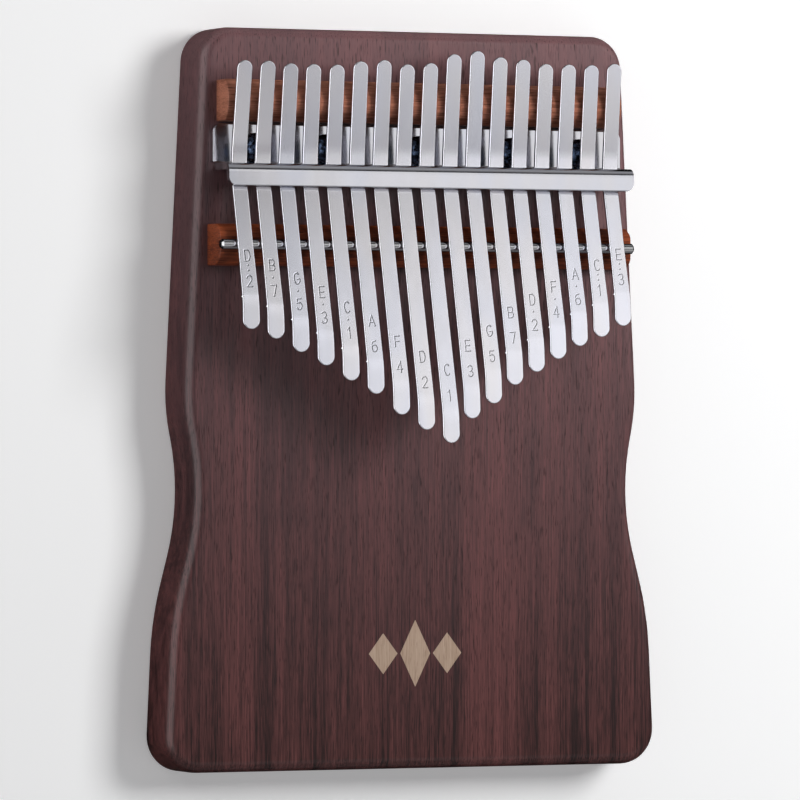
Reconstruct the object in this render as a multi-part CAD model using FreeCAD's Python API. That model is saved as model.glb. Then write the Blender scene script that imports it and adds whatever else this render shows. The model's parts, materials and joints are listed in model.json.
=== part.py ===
import FreeCAD, Part
import math
import os

# Seventeen-key solid-board thumb piano, lying on its back.
# X runs across the board, +Y towards its rear (clamped) end, +Z out of its front face.
# The origin is the centre of the back face. All sizes are in millimetres.

# ---- Board ----
board_length = 198.0
board_thickness = 15.5
rear_corner_radius = 9.0
foot_corner_radius = 9.5
front_edge_radius = 3.0
back_edge_radius = 1.5
# Right-hand side of the outline before rounding: half-width, distance from the middle, rounding radius.
# The side flares gently to a shoulder, draws in to the waist, and flares again to the foot.
side_vertices = [
    (61.8, board_length / 2, rear_corner_radius),
    (66.9, -2.0, 56.0),
    (62.0, -26.0, 69.0),
    (70.5, -58.5, 92.0),
    (72.4, -board_length / 2, foot_corner_radius),
]

# ---- Bridges and rod (heights are above the board's face) ----
bridge_width = 11.0
rear_bridge_y = 79.3
rear_bridge_half_length = 57.7
rear_bridge_crest = 8.1
rear_bridge_side = 5.6
front_bridge_y = 41.0
front_bridge_half_length = 60.3
front_bridge_crest = 8.5
front_bridge_side = 5.6
front_bridge_edge_radius = 2.4
bridge_end_radius = 0.4
rod_diameter = 2.9
rod_height = 9.25
rod_half_length = 60.4
rod_chamfer = 0.5

# ---- Clamp plate, one bent sheet: flange, web and lip ----
sheet_thickness = 1.8
plate_left = -59.5
plate_right = 60.2
lip_left = -58.4
flange_rear_y = 73.2
web_y = 61.7
lip_front_y = 56.5
lip_top = 10.6
flange_bend_radius = 1.6
lip_bend_radius = 1.5
plate_corner_radius = 2.4
plate_edge_radius = 0.3
step_y = 62.8
step_radius = 0.3
window_clearance = 0.33
window_bottom = 2.7

# ---- Tines ----
tine_count = 17
tine_pitch = 6.8
tine_width = 4.25
tip_width = 4.8
tine_thickness = 1.1
clamp_bend_y = 58.8
clamp_bend_radius = 15.0
clamped_top = 7.75
clamped_slope = 0.05
rear_bend_y = 66.0
rear_bend_radius = 30.0
front_slope = 0.25
pad_length = 7.5
pad_slope = 0.06
pad_bend_radius = 8.0
split_gap = 0.2
# Free length of each tine in front of the rod, from left to right. The longest is the lowest note.
tongue_lengths = [22.5, 25.0, 28.5, 32.0, 36.0, 39.5, 45.0, 49.0, 52.5,
                  46.0, 42.0, 37.0, 33.5, 30.0, 26.5, 24.0, 21.0]
# Rear ends, from left to right. They differ a little because each tine is slid to its own pitch.
rear_ends = [89.5, 89.5, 89.0, 89.0, 89.0, 90.0, 90.5, 89.5, 90.0,
             92.5, 93.5, 92.0, 91.5, 90.5, 90.5, 90.5, 91.0]
# Rise of the part behind the clamp. The three left-hand tines are bent up a little more.
rear_slopes = [0.170, 0.156, 0.129] + [0.105] * 14

# ---- Clamp screws ----
screw_tines = [2, 5, 9, 13, 16]
screw_y = 67.0
head_diameter = 7.6
head_height = 2.4
head_rim = 0.7
shaft_diameter = 3.0
shaft_depth = 10.0
shaft_point = 2.0
plate_hole_diameter = 3.4
recess_length = 4.2
recess_width = 0.9
recess_depth = 1.3

# ---- Inlay, three lozenges let into the face: centre x, width, height ----
inlay_y = -68.0
inlay_depth = 1.5
inlays = {
    "inlay_left": (-9.4, 8.4, 11.0),
    "inlay_centre": (0.0, 8.8, 18.0),
    "inlay_right": (9.4, 8.4, 11.0),
}

face = board_thickness


def vector(x, y, z):
    return FreeCAD.Vector(x, y, z)


def plan(point):
    """A point of a plan outline, on the plane z = 0."""
    return FreeCAD.Vector(point[0], point[1], 0)


def section(point):
    """A point of a section across the board: y, and height above the face."""
    return FreeCAD.Vector(0, point[0], face + point[1])


def unit(start, end):
    length = math.dist(start, end)
    return ((end[0] - start[0]) / length, (end[1] - start[1]) / length)


def rounded_edges(points, radii, place):
    """Lines through the 2-D points, with an arc of the given radius at each inner point."""
    edges = []
    last = points[0]
    for i in range(1, len(points) - 1):
        corner = points[i]
        back = unit(corner, points[i - 1])
        ahead = unit(corner, points[i + 1])
        half_angle = math.acos(max(-1.0, min(1.0, back[0] * ahead[0] + back[1] * ahead[1]))) / 2
        reach = radii[i] / math.tan(half_angle)
        to_centre = radii[i] / math.sin(half_angle)
        bisector = unit((0, 0), (back[0] + ahead[0], back[1] + ahead[1]))
        centre = (corner[0] + bisector[0] * to_centre, corner[1] + bisector[1] * to_centre)
        start = (corner[0] + back[0] * reach, corner[1] + back[1] * reach)
        middle = (centre[0] - bisector[0] * radii[i], centre[1] - bisector[1] * radii[i])
        end = (corner[0] + ahead[0] * reach, corner[1] + ahead[1] * reach)
        if math.dist(last, start) > 1e-6:
            edges.append(Part.makeLine(place(last), place(start)))
        edges.append(Part.Arc(place(start), place(middle), place(end)).toShape())
        last = end
    edges.append(Part.makeLine(place(last), place(points[-1])))
    return edges


def face_of(edges):
    return Part.Face(Part.Wire(Part.__sortEdges__(edges)))


def rounded_face(corners, place):
    """The face inside a closed run of corners, each given as its point and the radius it is rounded to."""
    points = [point for point, radius in corners]
    radii = [radius for point, radius in corners]
    return face_of(rounded_edges(points, radii, place))


def offset_path(points, distance):
    """The path moved sideways to its left by the distance, with its corners mitred."""
    moved = []
    for i, point in enumerate(points):
        ahead = unit(point, points[i + 1]) if i < len(points) - 1 else unit(points[i - 1], point)
        back = unit(points[i - 1], point) if i > 0 else ahead
        normal = unit((0, 0), (-ahead[1] - back[1], ahead[0] + back[0]))
        reach = distance / (normal[0] * -ahead[1] + normal[1] * ahead[0])
        moved.append((point[0] + normal[0] * reach, point[1] + normal[1] * reach))
    return moved


def bent_strip(path, radii, thickness, left, right):
    """A strip bent along a path of (y, height) points, with bend radii taken at its mid-thickness."""
    sides = []
    for shift in (thickness / 2, -thickness / 2):
        bends = []
        for i in range(len(path)):
            turn = 0.0
            if 0 < i < len(path) - 1:
                back = unit(path[i - 1], path[i])
                ahead = unit(path[i], path[i + 1])
                turn = math.copysign(1.0, back[0] * ahead[1] - back[1] * ahead[0])
            bends.append(radii[i] - turn * shift)
        sides.append((offset_path(path, shift), bends))
    edges = []
    for points, bends in sides:
        edges += rounded_edges(points, bends, section)
    edges.append(Part.makeLine(section(sides[0][0][0]), section(sides[1][0][0])))
    edges.append(Part.makeLine(section(sides[0][0][-1]), section(sides[1][0][-1])))
    strip = face_of(edges).extrude(vector(right - left, 0, 0))
    strip.translate(vector(left, 0, 0))
    return strip


def sharp_edges(shape):
    """The edges where two faces of the shape meet at more than 60 degrees."""
    sharp = []
    for edge in shape.Edges:
        middle = edge.valueAt((edge.FirstParameter + edge.LastParameter) / 2)
        faces = shape.ancestorsOfType(edge, Part.Face)
        if len(faces) != 2:
            continue
        normals = [f.normalAt(*f.Surface.parameter(middle)) for f in faces]
        if abs(normals[0].dot(normals[1])) < 0.5:
            sharp.append(edge)
    return sharp


def eased_ends(strip):
    """A bridge strip with the top edges of its two ends rounded over a little."""
    half_length = strip.BoundBox.XMax
    edges = []
    for edge in sharp_edges(strip):
        box = edge.BoundBox
        at_end = box.XLength < 0.01 and abs(box.XMin) > half_length - 0.01
        if at_end and box.ZMax > face + 0.01:
            edges.append(edge)
    return strip.makeFillet(bridge_end_radius, edges)


def tine_x(number):
    return (number - (tine_count + 1) / 2) * tine_pitch


def lozenge(x, y, width, height, low, high):
    corners = [(x - width / 2, y), (x, y - height / 2), (x + width / 2, y), (x, y + height / 2)]
    outline = Part.makePolygon([plan(c) for c in corners + corners[:1]])
    solid = Part.Face(outline).extrude(vector(0, 0, high - low))
    solid.translate(vector(0, 0, low))
    return solid


def board():
    """The solid board: waisted outline, rounded edges, inlay pockets and screw pilot holes."""
    right = [((x, y), radius) for x, y, radius in side_vertices]
    left = [((-x, y), radius) for x, y, radius in reversed(side_vertices)]
    top_middle = ((0, board_length / 2), 0)
    outline = rounded_face([top_middle] + right + left + [top_middle], plan)
    blank = outline.extrude(vector(0, 0, board_thickness))
    front_edges = [e for e in blank.Edges if e.BoundBox.ZMin > board_thickness - 0.01]
    blank = blank.makeFillet(front_edge_radius, front_edges)
    back_edges = [e for e in blank.Edges if e.BoundBox.ZMax < 0.01]
    blank = blank.makeFillet(back_edge_radius, back_edges)
    for x, width, height in inlays.values():
        blank = blank.cut(lozenge(x, inlay_y, width, height, face - inlay_depth, face + 1))
    for number in screw_tines:
        blank = blank.cut(screw_shaft(tine_x(number)))
    return blank


def rear_bridge():
    """A strip with straight sides and one crowned top."""
    rear = rear_bridge_y + bridge_width / 2
    front = rear_bridge_y - bridge_width / 2
    crown = Part.Arc(section((front, rear_bridge_side)), section((rear_bridge_y, rear_bridge_crest)),
                     section((rear, rear_bridge_side))).toShape()
    sides = Part.makePolygon([section((rear, rear_bridge_side)), section((rear, 0)),
                              section((front, 0)), section((front, rear_bridge_side))])
    strip = face_of([crown] + sides.Edges).extrude(vector(2 * rear_bridge_half_length, 0, 0))
    strip.translate(vector(-rear_bridge_half_length, 0, 0))
    return eased_ends(strip)


def front_bridge():
    """A strip with sloping shoulders and a groove along its crest for the rod."""
    half = bridge_width / 2
    half_crest = half - 2.0
    profile = [(-half, 0), (-half, front_bridge_side), (-half_crest, front_bridge_crest),
               (half_crest, front_bridge_crest), (half, front_bridge_side), (half, 0)]
    points = [(front_bridge_y + y, z) for y, z in profile]
    radii = [0, 1.0, front_bridge_edge_radius, front_bridge_edge_radius, 1.0, 0]
    edges = rounded_edges(points, radii, section)
    edges.append(Part.makeLine(section(points[-1]), section(points[0])))
    strip = face_of(edges).extrude(vector(2 * front_bridge_half_length, 0, 0))
    strip.translate(vector(-front_bridge_half_length, 0, 0))
    strip = eased_ends(strip)
    groove = Part.makeCylinder(rod_diameter / 2, 2 * rod_half_length,
                               vector(-rod_half_length, front_bridge_y, face + rod_height), vector(1, 0, 0))
    return strip.cut(groove)


def bridge_rod():
    start = vector(-rod_half_length, front_bridge_y, face + rod_height)
    rod = Part.makeCylinder(rod_diameter / 2, 2 * rod_half_length, start, vector(1, 0, 0))
    ends = [e for e in rod.Edges if e.BoundBox.XLength < 0.01]
    return rod.makeChamfer(rod_chamfer, ends)


def plate_section():
    """The bent sheet cut across: flange on the board, upright web, lip over the tines."""
    half = sheet_thickness / 2
    lip_bottom = lip_top - sheet_thickness
    flange_middle = (flange_rear_y + web_y) / 2
    corners = [
        ((flange_middle, 0), 0),
        ((flange_rear_y, 0), plate_edge_radius),
        ((flange_rear_y, sheet_thickness), plate_edge_radius),
        ((web_y + half, sheet_thickness), flange_bend_radius - half),
        ((web_y + half, lip_top), lip_bend_radius + half),
        ((lip_front_y, lip_top), plate_edge_radius),
        ((lip_front_y, lip_bottom), plate_edge_radius),
        ((web_y - half, lip_bottom), lip_bend_radius - half),
        ((web_y - half, 0), flange_bend_radius + half),
        ((flange_middle, 0), 0),
    ]
    return rounded_face(corners, section)


def plate_plan():
    """The sheet seen from above, with rounded corners. The web and lip stop short of the flange's left end."""
    corners = [
        ((0, flange_rear_y), 0),
        ((plate_right, flange_rear_y), plate_corner_radius),
        ((plate_right, lip_front_y), plate_corner_radius),
        ((lip_left, lip_front_y), plate_corner_radius),
        ((lip_left, step_y), step_radius),
        ((plate_left, step_y), step_radius),
        ((plate_left, flange_rear_y), plate_corner_radius),
        ((0, flange_rear_y), 0),
    ]
    return rounded_face(corners, plan)


def clamp_plate():
    """One bent sheet with a window in its web for each tine and a hole for each screw."""
    strip = plate_section().extrude(vector(plate_right - plate_left, 0, 0))
    strip.translate(vector(plate_left, 0, 0))
    plate = strip.common(plate_plan().extrude(vector(0, 0, 3 * board_thickness)))
    window_width = tine_width + 2 * window_clearance
    window_height = lip_top - sheet_thickness - window_bottom
    for number in range(1, tine_count + 1):
        corner = vector(tine_x(number) - window_width / 2, web_y - sheet_thickness, face + window_bottom)
        plate = plate.cut(Part.makeBox(window_width, 2 * sheet_thickness, window_height, corner))
    for number in screw_tines:
        start = vector(tine_x(number), screw_y, face - 1)
        plate = plate.cut(Part.makeCylinder(plate_hole_diameter / 2, sheet_thickness + 2, start))
    return plate


def screw_shaft(x):
    """The part of a screw in the wood: a cylinder with a conical point."""
    top = face + sheet_thickness
    shaft = Part.makeCylinder(shaft_diameter / 2, shaft_depth, vector(x, screw_y, top - shaft_depth))
    point = Part.makeCone(0.3, shaft_diameter / 2, shaft_point,
                          vector(x, screw_y, top - shaft_depth - shaft_point))
    return shaft.fuse(point).removeSplitter()


def clamp_screw(x):
    """A pan head with a short rim, a domed top and a cross recess, on its shaft."""
    seat = face + sheet_thickness
    rim_radius = head_diameter / 2
    dome = head_height - head_rim
    dome_radius = (rim_radius ** 2 + dome ** 2) / (2 * dome)
    sphere = Part.makeSphere(dome_radius, vector(x, screw_y, seat + head_height - dome_radius))
    head = Part.makeCylinder(rim_radius, head_height, vector(x, screw_y, seat)).common(sphere)
    top = seat + head_height
    for length, width in ((recess_length, recess_width), (recess_width, recess_length)):
        corner = vector(x - length / 2, screw_y - width / 2, top - recess_depth)
        head = head.cut(Part.makeBox(length, width, recess_depth + 1, corner))
    return head.fuse(screw_shaft(x)).removeSplitter()


def tine_path(number):
    """The tine's mid-thickness line from its rear end to its tip, as (y, height) points."""
    tip = front_bridge_y - tongue_lengths[number - 1]
    pad_bend = tip + pad_length
    rear = rear_ends[number - 1]
    low = clamped_top - tine_thickness / 2
    rear_bend_height = low + clamped_slope * (rear_bend_y - clamp_bend_y)
    bend_height = low + front_slope * (clamp_bend_y - pad_bend)
    return [
        (rear, rear_bend_height + rear_slopes[number - 1] * (rear - rear_bend_y)),
        (rear_bend_y, rear_bend_height),
        (clamp_bend_y, low),
        (pad_bend, bend_height),
        (tip, bend_height + pad_slope * pad_length),
    ]


def tine_blank(number):
    """The tine in one piece: a bent strip trimmed to a plan with a round rear end and a wider, round tip."""
    path = tine_path(number)
    x = tine_x(number)
    radii = [0, rear_bend_radius, clamp_bend_radius, pad_bend_radius, 0]
    strip = bent_strip(path, radii, tine_thickness, x - tip_width, x + tip_width)
    rear, tip = path[0][0], path[-1][0]
    narrow, wide = tine_width / 2, tip_width / 2
    rear_left = plan((x - narrow, rear - narrow))
    rear_right = plan((x + narrow, rear - narrow))
    flare_left = plan((x - narrow, front_bridge_y))
    flare_right = plan((x + narrow, front_bridge_y))
    tip_left = plan((x - wide, tip + wide))
    tip_right = plan((x + wide, tip + wide))
    edges = [
        Part.Arc(rear_left, plan((x, rear)), rear_right).toShape(),
        Part.makeLine(rear_right, flare_right),
        Part.makeLine(flare_right, tip_right),
        Part.Arc(tip_right, plan((x, tip)), tip_left).toShape(),
        Part.makeLine(tip_left, flare_left),
        Part.makeLine(flare_left, rear_left),
    ]
    outline = face_of(edges).extrude(vector(0, 0, 3 * board_thickness))
    return strip.common(outline)


def tine_halves(number):
    """The tine parted over the rod: the clamped shank behind it and the free tongue in front."""
    blank = tine_blank(number)
    size = 2 * board_length
    behind = Part.makeBox(size, size, size, vector(-size / 2, front_bridge_y + split_gap / 2, 0))
    ahead = Part.makeBox(size, size, size, vector(-size / 2, front_bridge_y - split_gap / 2 - size, 0))
    return blank.common(behind), blank.common(ahead)


def build_all():
    nodes = {
        "board": board(),
        "rear_bridge": rear_bridge(),
        "front_bridge": front_bridge(),
        "bridge_rod": bridge_rod(),
        "clamp_plate": clamp_plate(),
        "clamp_screws": Part.makeCompound([clamp_screw(tine_x(n)) for n in screw_tines]),
    }
    for name, (x, width, height) in inlays.items():
        nodes[name] = lozenge(x, inlay_y, width, height, face - inlay_depth, face)
    for number in range(1, tine_count + 1):
        shank, tongue = tine_halves(number)
        nodes[f"tine_{number:02d}_shank"] = shank
        nodes[f"tine_{number:02d}_tongue"] = tongue
    return nodes


os.makedirs("parts", exist_ok=True)
for name, shape in build_all().items():
    shape.exportStep(f"parts/{name}.step")
    print(name, len(shape.Solids), "solid(s)", round(shape.Volume, 1), "mm3", shape.isValid())
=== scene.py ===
import json
import math

import bpy
import numpy as np
from mathutils import Matrix, Vector


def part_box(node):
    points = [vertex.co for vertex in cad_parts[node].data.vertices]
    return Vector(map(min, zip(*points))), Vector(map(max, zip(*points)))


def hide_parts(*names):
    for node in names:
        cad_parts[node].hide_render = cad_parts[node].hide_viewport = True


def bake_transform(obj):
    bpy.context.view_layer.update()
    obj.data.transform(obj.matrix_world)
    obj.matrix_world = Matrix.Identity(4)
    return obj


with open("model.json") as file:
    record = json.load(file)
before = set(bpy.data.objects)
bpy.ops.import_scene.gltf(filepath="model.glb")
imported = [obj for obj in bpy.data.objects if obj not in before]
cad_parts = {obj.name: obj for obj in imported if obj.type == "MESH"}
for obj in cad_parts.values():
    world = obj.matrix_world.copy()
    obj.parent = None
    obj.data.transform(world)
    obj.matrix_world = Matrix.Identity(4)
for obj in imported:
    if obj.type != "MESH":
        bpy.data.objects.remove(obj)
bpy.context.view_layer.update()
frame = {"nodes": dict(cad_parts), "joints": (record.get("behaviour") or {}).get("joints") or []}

# A seventeen-key thumb piano lying on its back. Row frame: +X to the player's right, +Y to the rear
# (clamped) end, +Z out of the playing face. Lengths are in metres, and MM turns millimetres into them.
MM = 0.001
UP_IN_VIEW = Vector((0, 1, 0))

# ---- Camera: turned to the left of straight above the face, far away, with a long lens ----
CAMERA_TURN = math.radians(24)
CAMERA_DISTANCE = 1.810
CAMERA_LENS = 303.3
CAMERA_TO_LEFT = 4.08 * MM
CAMERA_TO_FOOT = 8.6 * MM
CAMERA_TILT = 0.00475

# ---- Floor and surroundings ----
FLOOR_HALF_SIZE = 20.0
FLOOR_DROP = 0.02 * MM
FLOOR_FINISH = {"Base Color": (0.93, 0.93, 0.93, 1), "Roughness": 0.9, "Specular IOR Level": 0.1,
                "Emission Color": (1, 1, 1, 1), "Emission Strength": 0.2}
# The room's shade from the foot end (0) to the rear end (1), by direction.
ROOM_SHADES = [(0.35, (0.32, 0.32, 0.33, 1)), (0.60, (0.015, 0.015, 0.016, 1)),
               (0.80, (0.015, 0.015, 0.016, 1)), (0.92, (0.42, 0.42, 0.43, 1))]
BELOW_FLOOR = (0.01, 0.01, 0.01)
BACKDROP = (0.86, 0.86, 0.86)

# ---- Wood: the board's painted sheen, a lighter lilac-grey painted in between these places, up to this share ----
PAINTED_SHEEN_FROM = -95 * MM
PAINTED_SHEEN_TO = 95 * MM
PAINTED_SHEEN_SHARE = 0.52

# ---- Tines: the bends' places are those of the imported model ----
ROD_Y = 41.0 * MM
CLAMP_BEND_Y = 58.8 * MM
REAR_BEND_Y = 66.0 * MM
PAD_LENGTH = 7.5 * MM
TINE_THICKNESS = 1.1 * MM
TINE_HALF_WIDTH = 2.125 * MM
TIP_HALF_WIDTH = 2.4 * MM
FRONT_SLOPE = 0.25
PAD_SLOPE = 0.06
CLAMPED_SLOPE = 0.05
REAR_SLOPES = [0.170, 0.156, 0.129] + [0.105] * 14
CLAMP_BEND_RADIUS = 15.0 * MM
REAR_BEND_RADIUS = 30.0 * MM
PAD_BEND_RADIUS = 20.0 * MM
EDGE_RADIUS = 0.22 * MM
LINE_SAMPLES = 4001
CAP_STEPS = 12

# ---- Note stamps: a letter, octave dots and a number on each tine, from left to right ----
NOTES = ["D..2", "B.7", "G.5", "E.3", "C.1", "A6", "F4", "D2", "C1",
         "E3", "G5", "B7", "D.2", "F.4", "A.6", "C..1", "E..3"]
LETTER_FROM_TIP = 19.5 * MM
DOTS_FROM_TIP = 16.2 * MM
NUMBER_FROM_TIP = 12.7 * MM
DOT_SPACING = 1.4 * MM
GLYPH_HALF_WIDTH = 0.85 * MM
GLYPH_HALF_HEIGHT = 1.45 * MM
STROKE_HALF_WIDTH = 0.21 * MM
DOT_RADIUS = 0.30 * MM
STAMP_DEPTH = 0.055 * MM
STAMP_STEP = 0.10 * MM
# The raised rim round a stroke. Its place and width are in the stroke's half-widths.
STAMP_RIM = 0.004 * MM
RIM_PLACE = 1.25
RIM_WIDTH = 0.3


# ---------------------------------------------------------------- node trees

class Graph:
    """The node tree of a material or world, with short calls that add a node and return its output."""

    def __init__(self, owner, coordinates):
        owner.use_nodes = True
        self.tree = owner.node_tree
        self.place = self.add("ShaderNodeTexCoord").outputs[coordinates]

    def feed(self, socket, value):
        """Links another node's output to a socket, or sets the socket's own value."""
        if isinstance(value, bpy.types.NodeSocket):
            self.tree.links.new(value, socket)
        elif socket.type == "RGBA":
            socket.default_value = (*value, 1)
        else:
            socket.default_value = value

    def add(self, kind, inputs=(), **settings):
        """A new node with the given settings, its inputs fed from (socket, value) pairs."""
        node = self.tree.nodes.new(kind)
        for setting, value in settings.items():
            setattr(node, setting, value)
        for socket, value in inputs:
            self.feed(node.inputs[socket], value)
        return node

    def set(self, socket, value):
        """Sets one of the surface shader's own inputs, by a value or by another node's output."""
        self.feed(self.tree.nodes["Principled BSDF"].inputs[socket], value)

    def part(self, axis):
        """One component of the coordinates."""
        return self.add("ShaderNodeSeparateXYZ", [(0, self.place)]).outputs[axis]

    def at(self, x, y, z, shift=(0, 0, 0)):
        """The coordinates counted in cells of x by y by z millimetres."""
        scale = (1 / (x * MM), 1 / (y * MM), 1 / (z * MM))
        inputs = [("Vector", self.place), ("Scale", scale), ("Location", shift)]
        return self.add("ShaderNodeMapping", inputs).outputs[0]

    def noise(self, where, detail=2.0, roughness=0.5):
        inputs = [("Vector", where), ("Scale", 1), ("Detail", detail), ("Roughness", roughness)]
        return self.add("ShaderNodeTexNoise", inputs).outputs["Fac"]

    def warp(self, where, by, amount):
        """Coordinates pushed along by a 0 to 1 value times the amount."""
        inputs = [(0, by), (1, amount), (2, where)]
        return self.add("ShaderNodeVectorMath", inputs, operation="MULTIPLY_ADD").outputs[0]

    def range(self, value, low, high, to_low=0.0, to_high=1.0):
        """A value from low to high brought to between two others, and held there."""
        inputs = [("Value", value), ("From Min", low), ("From Max", high),
                  ("To Min", to_low), ("To Max", to_high)]
        return self.add("ShaderNodeMapRange", inputs).outputs[0]

    def sum(self, *terms):
        """The sum of (value, weight) terms."""
        total = 0.0
        for value, weight in terms:
            inputs = [(0, value), (1, weight), (2, total)]
            total = self.add("ShaderNodeMath", inputs, operation="MULTIPLY_ADD").outputs[0]
        return total

    def mix(self, factor, first, second):
        """One colour turning into another as the factor goes from 0 to 1."""
        inputs = [("Factor", factor), ("A", first), ("B", second)]
        return self.add("ShaderNodeMix", inputs, data_type="RGBA").outputs["Result"]

    def bump(self, height, depth):
        """Fine relief: the height, from 0 to 1, is that many millimetres deep."""
        inputs = [("Height", height), ("Strength", 1), ("Distance", depth * MM)]
        self.set("Normal", self.add("ShaderNodeBump", inputs).outputs[0])


# ---------------------------------------------------------------- stage, camera and light

def facing(location, back):
    """A camera's or lamp's placement, with its back this way and its own up as near +Y as it can be."""
    side = UP_IN_VIEW.cross(back).normalized()
    axes = Matrix((side, back.cross(side), back)).transposed()
    return Matrix.Translation(location) @ axes.to_4x4()


def add_camera():
    right = Vector((math.cos(CAMERA_TURN), 0, math.sin(CAMERA_TURN)))
    forward = Vector((math.sin(CAMERA_TURN), 0, -math.cos(CAMERA_TURN)))
    face_centre = Vector((0, 0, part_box("board")[1].z))
    camera = bpy.data.objects.new("camera", bpy.data.cameras.new("camera"))
    bpy.context.scene.collection.objects.link(camera)
    camera.data.lens = CAMERA_LENS
    camera.data.sensor_width = 36
    camera.data.clip_start = 0.1
    camera.data.clip_end = 100
    place = face_centre - CAMERA_DISTANCE * forward
    place += -CAMERA_TO_LEFT * right - CAMERA_TO_FOOT * UP_IN_VIEW
    camera.matrix_world = facing(place, -(forward + CAMERA_TILT * UP_IN_VIEW).normalized())
    bpy.context.scene.camera = camera


def add_floor():
    size = FLOOR_HALF_SIZE
    corners = [(x, y, -FLOOR_DROP) for x, y in ((-size, -size), (size, -size), (size, size), (-size, size))]
    mesh = bpy.data.meshes.new("floor")
    mesh.from_pydata(corners, [], [(0, 1, 2, 3)])
    floor = bpy.data.objects.new("floor", mesh)
    bpy.context.scene.collection.objects.link(floor)
    paper = bpy.data.materials.new("floor_paper")
    paper.use_nodes = True
    for socket, value in FLOOR_FINISH.items():
        paper.node_tree.nodes["Principled BSDF"].inputs[socket].default_value = value
    mesh.materials.append(paper)
    floor.visible_glossy = False


def add_softbox(name, kind, direction, distance, width, height, radiance):
    """A rectangular light that faces the object, seen in reflections only or lighting surfaces only.

    Its height runs along +Y as nearly as it can.
    """
    light = bpy.data.lights.new(name, "AREA")
    light.shape = "RECTANGLE"
    light.size = width
    light.size_y = height
    light.energy = radiance * math.pi * width * height
    lamp = bpy.data.objects.new(name, light)
    bpy.context.scene.collection.objects.link(lamp)
    back = Vector(direction).normalized()
    lamp.matrix_world = facing(back * distance, back)
    lamp.visible_camera = False
    lamp.visible_glossy = kind == "reflection"
    lamp.visible_diffuse = kind == "fill"


def add_lights():
    add_softbox("key_reflection", "reflection", direction=(0.73, 0.27, 0.62), distance=0.83,
                width=1.02, height=0.52, radiance=1.16)
    add_softbox("left_reflection", "reflection", direction=(-0.83, 0.10, 0.56), distance=1.2,
                width=1.5, height=1.5, radiance=2.3)
    add_softbox("foot_reflection", "reflection", direction=(0.40, -0.42, 0.82), distance=1.2,
                width=0.9, height=0.6, radiance=0.42)
    add_softbox("key", "fill", direction=(0.58, 0.30, 0.76), distance=0.80,
                width=0.34, height=0.34, radiance=13.0)
    add_softbox("left", "fill", direction=(-0.82, 0.50, 0.17), distance=0.65,
                width=0.20, height=0.30, radiance=4.6)


def add_room():
    """Soft grey towards both ends and dark above and below, with a near-white backdrop for the camera
    alone.
    """
    world = bpy.data.worlds.new("studio")
    bpy.context.scene.world = world
    g = Graph(world, "Generated")
    room = g.add("ShaderNodeValToRGB", [("Fac", g.range(g.part("Y"), -1, 1))])
    shades = room.color_ramp.elements
    shades.remove(shades[-1])
    shades[0].position, shades[0].color = ROOM_SHADES[0]
    for position, colour in ROOM_SHADES[1:]:
        shades.new(position).color = colour
    above_floor = g.range(g.part("Z"), -0.15, 0.05)
    seen_by_camera = g.add("ShaderNodeLightPath").outputs["Is Camera Ray"]
    shade = g.mix(seen_by_camera, g.mix(above_floor, BELOW_FLOOR, room.outputs["Color"]), BACKDROP)
    g.feed(g.tree.nodes["Background"].inputs["Color"], shade)


# ---------------------------------------------------------------- materials

def cell(grain, across, along, deep=1):
    """A cell's sizes in millimetres: long along the grain's axis, and deeper than wide if asked."""
    return (along, across, across * deep) if grain == "X" else (across, along, across * deep)


def wood(name, grain, dark, light, pore, streak, roughness, ior, coat=0.0, painted_sheen=None):
    """Hardwood: broad tone, dark growth lines, fine fibres and short open pores, long along the grain.

    The streak is the range that goes from dark to light. A painted sheen colour, if one is given,
    comes in gradually towards the rear end: painted light that makes the wood lighter and greyer there.
    """
    material = bpy.data.materials.new(name)
    g = Graph(material, "Object")
    wander = g.noise(g.at(*cell(grain, 30, 80)), detail=1)
    side = (0, 2.5, 2.0) if grain == "X" else (2.5, 0, 2.0)
    line_cells = g.warp(g.at(*cell(grain, 2.0, 190, deep=5)), wander, side)
    fibre_cells = g.warp(g.at(*cell(grain, 0.40, 34, deep=5)), wander, side)
    tone = g.noise(g.at(*cell(grain, 9, 220, deep=5), shift=(3, 1, 7)))
    bands = g.noise(line_cells, detail=5, roughness=0.7)
    fibres = g.noise(fibre_cells, detail=4, roughness=0.75)
    fleck = g.noise(g.at(*cell(grain, 0.36, 7), shift=(8, 3, 2)))
    pores = g.noise(g.at(*cell(grain, 0.24, 3.6), shift=(5, 2, 9)), detail=1)
    open_pores = g.range(pores, 0.58, 0.70)
    blend = g.sum((tone, 0.9), (bands, 0.95), (fibres, 1.5), (fleck, 0.7), (1.0, -1.52))
    colour = g.mix(g.range(blend, *streak), dark, light)
    if painted_sheen:
        # Painted sheen: the colour turns lighter and greyer towards the rear end, painted in place of
        # reflected light and the lamps' fall-off.
        colour = g.mix(g.range(g.part("Y"), PAINTED_SHEEN_FROM, PAINTED_SHEEN_TO, 0, PAINTED_SHEEN_SHARE), colour, painted_sheen)
    g.set("Base Color", g.mix(g.sum((open_pores, 0.65)), colour, pore))
    g.set("Roughness", g.sum((fibres, 0.16), (open_pores, 0.2), (1.0, roughness - 0.08)))
    g.set("IOR", ior)
    g.set("Coat Weight", coat)
    g.set("Coat Roughness", 0.28)
    g.bump(g.sum((fibres, 0.35), (open_pores, -0.6), (1.0, 0.6)), depth=0.05)
    return material


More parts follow.
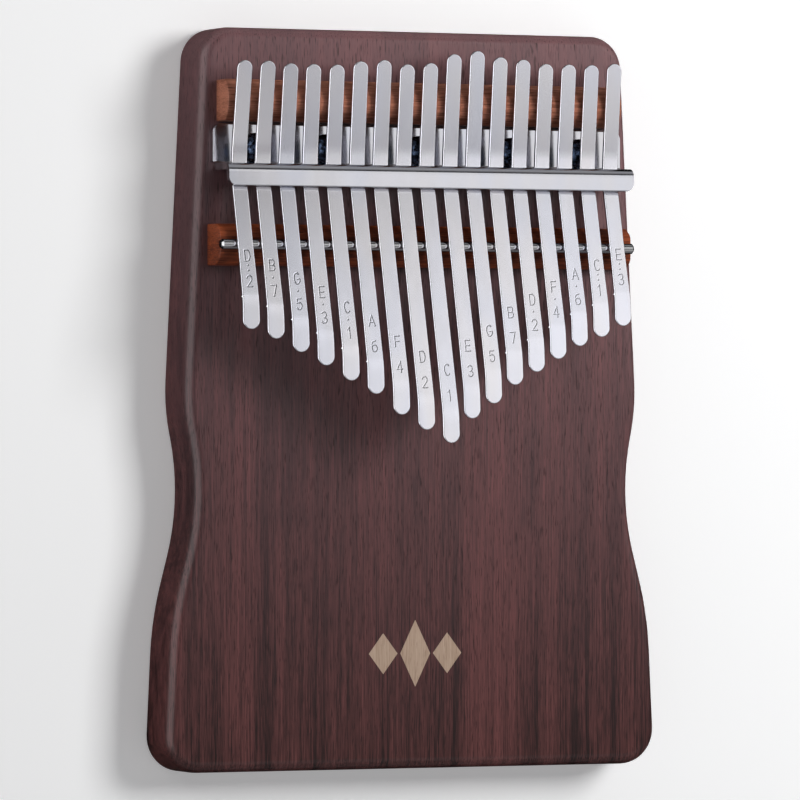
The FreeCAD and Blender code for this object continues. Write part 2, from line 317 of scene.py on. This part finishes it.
def steel(name, grain, colour, roughness):
    """Nickel-plated spring steel: long fine brushing along one axis, faint warm and cool tints."""
    material = bpy.data.materials.new(name)
    g = Graph(material, "Object")
    brushing = g.noise(g.at(*cell(grain, 0.12, 40)))
    clouds = g.noise(g.at(9, 30, 9, shift=(2, 4, 1)), detail=1)
    smears = g.noise(g.at(3, 11, 3, shift=(9, 4, 3)))
    warm, cool = (tuple(c * (1 + 0.03 * k) for c, k in zip(colour, tint))
                  for tint in ((0.2, -0.3, -1.0), (-1.0, -0.6, 0.3)))
    g.set("Base Color", g.mix(g.range(clouds, 0.35, 0.65), warm, cool))
    g.set("Metallic", 1.0)
    g.set("Roughness", g.sum((brushing, 0.05), (smears, 0.06), (1.0, roughness - 0.055)))
    g.bump(brushing, depth=0.0004)
    return material


def black_oxide(name):
    """Blued screw steel: near black, with an oily blue cast in patches."""
    material = bpy.data.materials.new(name)
    g = Graph(material, "Object")
    patches = g.noise(g.at(0.9, 0.9, 0.9), detail=3)
    g.set("Base Color", g.mix(g.range(patches, 0.35, 0.7), (0.020, 0.024, 0.035), (0.13, 0.19, 0.32)))
    g.set("Metallic", 1.0)
    g.set("Roughness", g.range(patches, 0.3, 0.7, 0.15, 0.32))
    g.bump(patches, depth=0.01)
    return material


def dress(node, material):
    """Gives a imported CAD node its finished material."""
    shape = frame["nodes"][node]
    shape.data.materials.clear()
    shape.data.materials.append(material)


def dress_base():
    # The board's colour carries a painted sheen, lighter and greyer towards its rear end.
    dress("board", wood("board_walnut", "Y", dark=(0.012, 0.0038, 0.0036), light=(0.146, 0.047, 0.045),
                        pore=(0.012, 0.0035, 0.0035), streak=(0.24, 0.88), roughness=0.42, ior=1.20,
                        coat=0.5, painted_sheen=(0.28, 0.150, 0.162)))
    dress("rear_bridge", wood("rear_bridge_rosewood", "X", dark=(0.15, 0.040, 0.017),
                              light=(0.50, 0.19, 0.115), pore=(0.050, 0.014, 0.007),
                              streak=(0.15, 0.85), roughness=0.50, ior=1.3))
    dress("front_bridge", wood("front_bridge_rosewood", "X", dark=(0.11, 0.020, 0.007),
                               light=(0.38, 0.085, 0.028), pore=(0.035, 0.008, 0.003),
                               streak=(0.15, 0.85), roughness=0.50, ior=1.3))
    maple = wood("inlay_maple", "Y", dark=(0.37, 0.25, 0.17), light=(0.58, 0.43, 0.33),
                 pore=(0.30, 0.19, 0.13), streak=(0.0, 0.9), roughness=0.45, ior=1.42)
    for node in ("inlay_left", "inlay_centre", "inlay_right"):
        dress(node, maple)
    dress("bridge_rod", steel("rod_steel", "X", (0.40, 0.40, 0.41), 0.14))
    dress("clamp_plate", steel("plate_steel", "X", (0.55, 0.55, 0.585), 0.15))
    dress("clamp_screws", black_oxide("screw_black"))


# ---------------------------------------------------------------- note stamps

def arc(x, y, across, up, start, end, steps=10):
    """Points of an elliptical arc between two angles in degrees."""
    angles = [math.radians(start + (end - start) * i / steps) for i in range(steps + 1)]
    return [(x + across * math.cos(a), y + up * math.sin(a)) for a in angles]


# Each glyph is a list of strokes in a box from -1 to 1, with its top towards the clamp.
GLYPHS = {
    "A": [[(-1, -1), (0, 1), (1, -1)], [(-0.6, -0.3), (0.6, -0.3)]],
    "B": [[(-0.85, -1), (-0.85, 1)] + arc(0.15, 0.5, 0.65, 0.5, 90, -90) + [(-0.85, 0)],
          [(-0.85, 0)] + arc(0.2, -0.5, 0.7, 0.5, 90, -90) + [(-0.85, -1)]],
    "C": [arc(0.1, 0, 1, 1, 50, 310, 16)],
    "D": [[(-0.85, -1), (-0.85, 1)] + arc(0, 0, 0.9, 1, 90, -90, 12) + [(-0.85, -1)]],
    "E": [[(0.85, 1), (-0.8, 1), (-0.8, -1), (0.85, -1)], [(-0.8, 0), (0.65, 0)]],
    "F": [[(0.85, 1), (-0.8, 1), (-0.8, -1)], [(-0.8, 0), (0.6, 0)]],
    "G": [arc(0.05, 0, 1, 1, 50, 340, 18) + [(0.95, -0.1), (0.2, -0.1)]],
    "1": [[(-0.4, 0.6), (0.1, 1), (0.1, -1)]],
    "2": [arc(0, 0.42, 0.8, 0.58, 165, -35) + [(-0.85, -1), (0.85, -1)]],
    "3": [arc(-0.05, 0.5, 0.75, 0.5, 150, -90) + arc(-0.05, -0.5, 0.85, 0.5, 90, -150)],
    "4": [[(0.35, -1), (0.35, 1), (-0.9, -0.4), (0.85, -0.4)]],
    "5": [[(0.75, 1), (-0.65, 1), (-0.75, 0.1)] + arc(-0.05, -0.35, 0.85, 0.65, 120, -150, 14)],
    "6": [[(0.55, 0.95)] + arc(0.05, -0.1, 0.9, 1.0, 110, 180, 6)
          + arc(0.0, -0.4, 0.85, 0.6, 180, 540, 18)],
    "7": [[(-0.85, 1), (0.85, 1), (-0.15, -1)]],
}


def distance_to_stroke(x, y, points):
    """Each grid point's distance to a stroke through the given points."""
    nearest = np.full(x.shape, np.inf)
    for (x0, y0), (x1, y1) in zip(points[:-1], points[1:]):
        dx = x1 - x0
        dy = y1 - y0
        length_squared = max(dx * dx + dy * dy, 1e-12)
        along = np.clip(((x - x0) * dx + (y - y0) * dy) / length_squared, 0, 1)
        nearest = np.minimum(nearest, np.hypot(x - x0 - along * dx, y - y0 - along * dy))
    return nearest


def pressed(distance, half_width):
    """A stamped groove's height at a distance from its middle: a rounded V with a raised rim."""
    inside = np.clip(1 - distance / half_width, 0, 1)
    rim = np.exp(-((distance / half_width - RIM_PLACE) / RIM_WIDTH) ** 2)
    return STAMP_RIM * rim - STAMP_DEPTH * inside * inside * (3 - 2 * inside)


def stamped(x, y, note, centre, tip):
    """How far the top of a tine is raised (+) or pressed in (-) by its note stamp."""
    letter, dots, number = note[0], note.count("."), note[-1]
    height = np.zeros(x.shape)
    for glyph, from_tip in ((letter, LETTER_FROM_TIP), (number, NUMBER_FROM_TIP)):
        middle = tip + from_tip
        strokes = [[(centre + u * GLYPH_HALF_WIDTH, middle + v * GLYPH_HALF_HEIGHT) for u, v in stroke]
                   for stroke in GLYPHS[glyph]]
        distance = np.min([distance_to_stroke(x, y, stroke) for stroke in strokes], axis=0)
        height += pressed(distance, STROKE_HALF_WIDTH)
    for i in range(dots):
        dot_y = tip + DOTS_FROM_TIP + (i - (dots - 1) / 2) * DOT_SPACING
        height += pressed(np.hypot(x - centre, y - dot_y), DOT_RADIUS)
    return height


# ---------------------------------------------------------------- tines

def middle_line(tip, rear, rear_slope, pivot_z):
    """Functions of y for a tine's mid-thickness height and slope: straight runs joined by bends."""
    bends = [(tip + PAD_LENGTH, -PAD_SLOPE, -FRONT_SLOPE, PAD_BEND_RADIUS),
             (CLAMP_BEND_Y, -FRONT_SLOPE, CLAMPED_SLOPE, CLAMP_BEND_RADIUS),
             (REAR_BEND_Y, CLAMPED_SLOPE, rear_slope, REAR_BEND_RADIUS)]
    knots = []
    slopes = []
    for y, before, after, radius in bends:
        reach = radius * math.tan(abs(math.atan(after) - math.atan(before)) / 2)
        knots += [y - reach, y + reach]
        slopes += [before, after]
    fine_y = np.linspace(tip, rear, LINE_SAMPLES)
    fine_slope = np.interp(fine_y, knots, slopes)
    steps = (fine_slope[1:] + fine_slope[:-1]) / 2 * np.diff(fine_y)
    fine_z = np.concatenate([[0], np.cumsum(steps)])
    fine_z += pivot_z - np.interp(ROD_Y, fine_y, fine_z)
    return lambda y: np.interp(y, fine_y, fine_z), lambda y: np.interp(y, knots, slopes)


def stations(tip, rear):
    """Rows from tip to rear as (y, half-width, outward normal's x and y) on the tine's outline."""
    tip_centre = tip + TIP_HALF_WIDTH
    rear_centre = rear - TINE_HALF_WIDTH
    cap = [math.radians(90 - 90 * i / CAP_STEPS) for i in range(CAP_STEPS + 1)]
    rows = [(tip_centre - TIP_HALF_WIDTH * math.sin(angle), TIP_HALF_WIDTH * math.cos(angle),
             math.cos(angle), -math.sin(angle)) for angle in cap]
    pad_bend = tip + PAD_LENGTH
    margin = 2.5 * STROKE_HALF_WIDTH
    marks_start = tip + NUMBER_FROM_TIP - GLYPH_HALF_HEIGHT - margin
    marks_end = tip + LETTER_FROM_TIP + GLYPH_HALF_HEIGHT + margin
    runs = [(tip_centre + 0.6 * MM, pad_bend - 1.0 * MM, 1.0 * MM),
            (pad_bend - 1.0 * MM, pad_bend + 1.0 * MM, 0.2 * MM),
            (pad_bend + 1.0 * MM, marks_start - 0.2 * MM, 0.5 * MM),
            (marks_start, marks_end, STAMP_STEP),
            (marks_end + 0.2 * MM, CLAMP_BEND_Y - 3 * MM, 1.5 * MM),
            (CLAMP_BEND_Y - 3 * MM, CLAMP_BEND_Y + 3 * MM, 0.5 * MM),
            (CLAMP_BEND_Y + 3 * MM, rear_centre - 0.4 * MM, 1.5 * MM)]
    for start, end, spacing in runs:
        for y in np.arange(start, end, spacing):
            flare = min(max((ROD_Y - y) / (ROD_Y - tip_centre), 0), 1)
            rows.append((y, TINE_HALF_WIDTH + flare * (TIP_HALF_WIDTH - TINE_HALF_WIDTH), 1.0, 0.0))
    rows += [(rear_centre + TINE_HALF_WIDTH * math.sin(angle), TINE_HALF_WIDTH * math.cos(angle),
              math.cos(angle), math.sin(angle)) for angle in reversed(cap)]
    return np.array(rows)


def strip_faces(lower, upper):
    """Faces between two rows of point numbers, where either row may be a single point."""
    if len(lower) == 1:
        return [(lower[0], b, a) for a, b in zip(upper[:-1], upper[1:])]
    if len(upper) == 1:
        return [(a, b, upper[0]) for a, b in zip(lower[:-1], lower[1:])]
    return [(a, b, d, c) for a, b, c, d in zip(lower[:-1], lower[1:], upper[:-1], upper[1:])]


def edge_profile():
    """The rounded edge from the top down: (inset from the outline, face, distance in from that face)."""
    top = [math.radians(angle) for angle in (22.5, 45, 67.5, 90)]
    bottom = [math.radians(angle) for angle in (0, 45, 90)]
    return ([(EDGE_RADIUS * (1 - math.sin(a)), 1, EDGE_RADIUS * (1 - math.cos(a))) for a in top]
            + [(EDGE_RADIUS * (1 - math.cos(a)), -1, EDGE_RADIUS * (1 - math.sin(a))) for a in bottom])


def tine_mesh(name, centre, tip, rear, rear_slope, pivot_z, note):
    """A tine as one closed mesh: stamped top, rounded edges all round, plain underside."""
    height, slope = middle_line(tip, rear, rear_slope, pivot_z)

    def face_height(y, face, drop):
        """The height of the top (1) or underside (-1) at y, or a drop in from it."""
        return height(y) + face * (TINE_THICKNESS / 2 * np.sqrt(1 + slope(y) ** 2) - drop)

    rows = stations(tip, rear)
    last = len(rows) - 1
    columns = 2 * round((TINE_HALF_WIDTH - EDGE_RADIUS) / STAMP_STEP)
    across = np.linspace(-1, 1, columns + 1)
    points = []
    grid = []
    count = 0
    for j, (row_y, half, normal_x, normal_y) in enumerate(rows):
        inner_half = max(half - EDGE_RADIUS * normal_x, 0)
        x = centre + (np.array([0.0]) if j in (0, last) else across * inner_half)
        y = np.full(len(x), row_y - EDGE_RADIUS * normal_y)
        z = face_height(y, 1, 0) + stamped(x, y, note, centre, tip)
        points.append(np.stack([x, y, z], axis=1))
        grid.append(list(range(count, count + len(x))))
        count += len(x)
    faces = [face for lower, upper in zip(grid[:-1], grid[1:]) for face in strip_faces(lower, upper)]

    # The edge all round, as loops of points that start at the tip and run up the right-hand side.
    rim = np.concatenate([rows, rows[last - 1:0:-1] * (1, -1, -1, 1)])
    size = len(rim)
    loop = [row[-1] for row in grid] + [row[0] for row in grid[last - 1:0:-1]]
    for inset, face, drop in edge_profile():
        x = rim[:, 1] - inset * rim[:, 2]
        y = rim[:, 0] - inset * rim[:, 3]
        points.append(np.stack([centre + x, y, face_height(y, face, drop)], axis=1))
        following = list(range(count, count + size))
        count += size
        for k in range(size):
            n = (k + 1) % size
            faces.append((loop[k], following[k], following[n], loop[n]))
        loop = following

    # The underside, as strips from side to side. The two at the ends are triangles.
    for k in range(last):
        corners = [loop[k], loop[-k % size], loop[-(k + 1) % size], loop[k + 1]]
        faces.append(tuple(dict.fromkeys(corners)))
    mesh = bpy.data.meshes.new(name)
    mesh.from_pydata(np.concatenate(points).tolist(), [], faces)
    mesh.update()
    mesh.polygons.foreach_set("use_smooth", [True] * len(mesh.polygons))
    return mesh


def add_tines():
    finish = steel("tine_steel", "Y", (0.780, 0.775, 0.825), 0.24)
    pivots = {joint["name"]: joint["pos_m"] for joint in frame["joints"] if joint["type"] == "hinge"}
    for number, note in enumerate(NOTES, 1):
        name = f"tine_{number:02d}"
        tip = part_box(f"{name}_tongue")[0].y
        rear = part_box(f"{name}_shank")[1].y
        pivot = Vector(pivots[f"pluck_{number:02d}"])
        mesh = tine_mesh(name, pivot.x, tip, rear, REAR_SLOPES[number - 1], pivot.z, note)
        mesh.materials.append(finish)
        tine = bpy.data.objects.new(name, mesh)
        bpy.context.scene.collection.objects.link(tine)
        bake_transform(tine)
        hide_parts(f"{name}_shank", f"{name}_tongue")


bpy.context.scene.view_settings.view_transform = "Standard"
add_camera()
add_floor()
add_lights()
add_room()
dress_base()
add_tines()
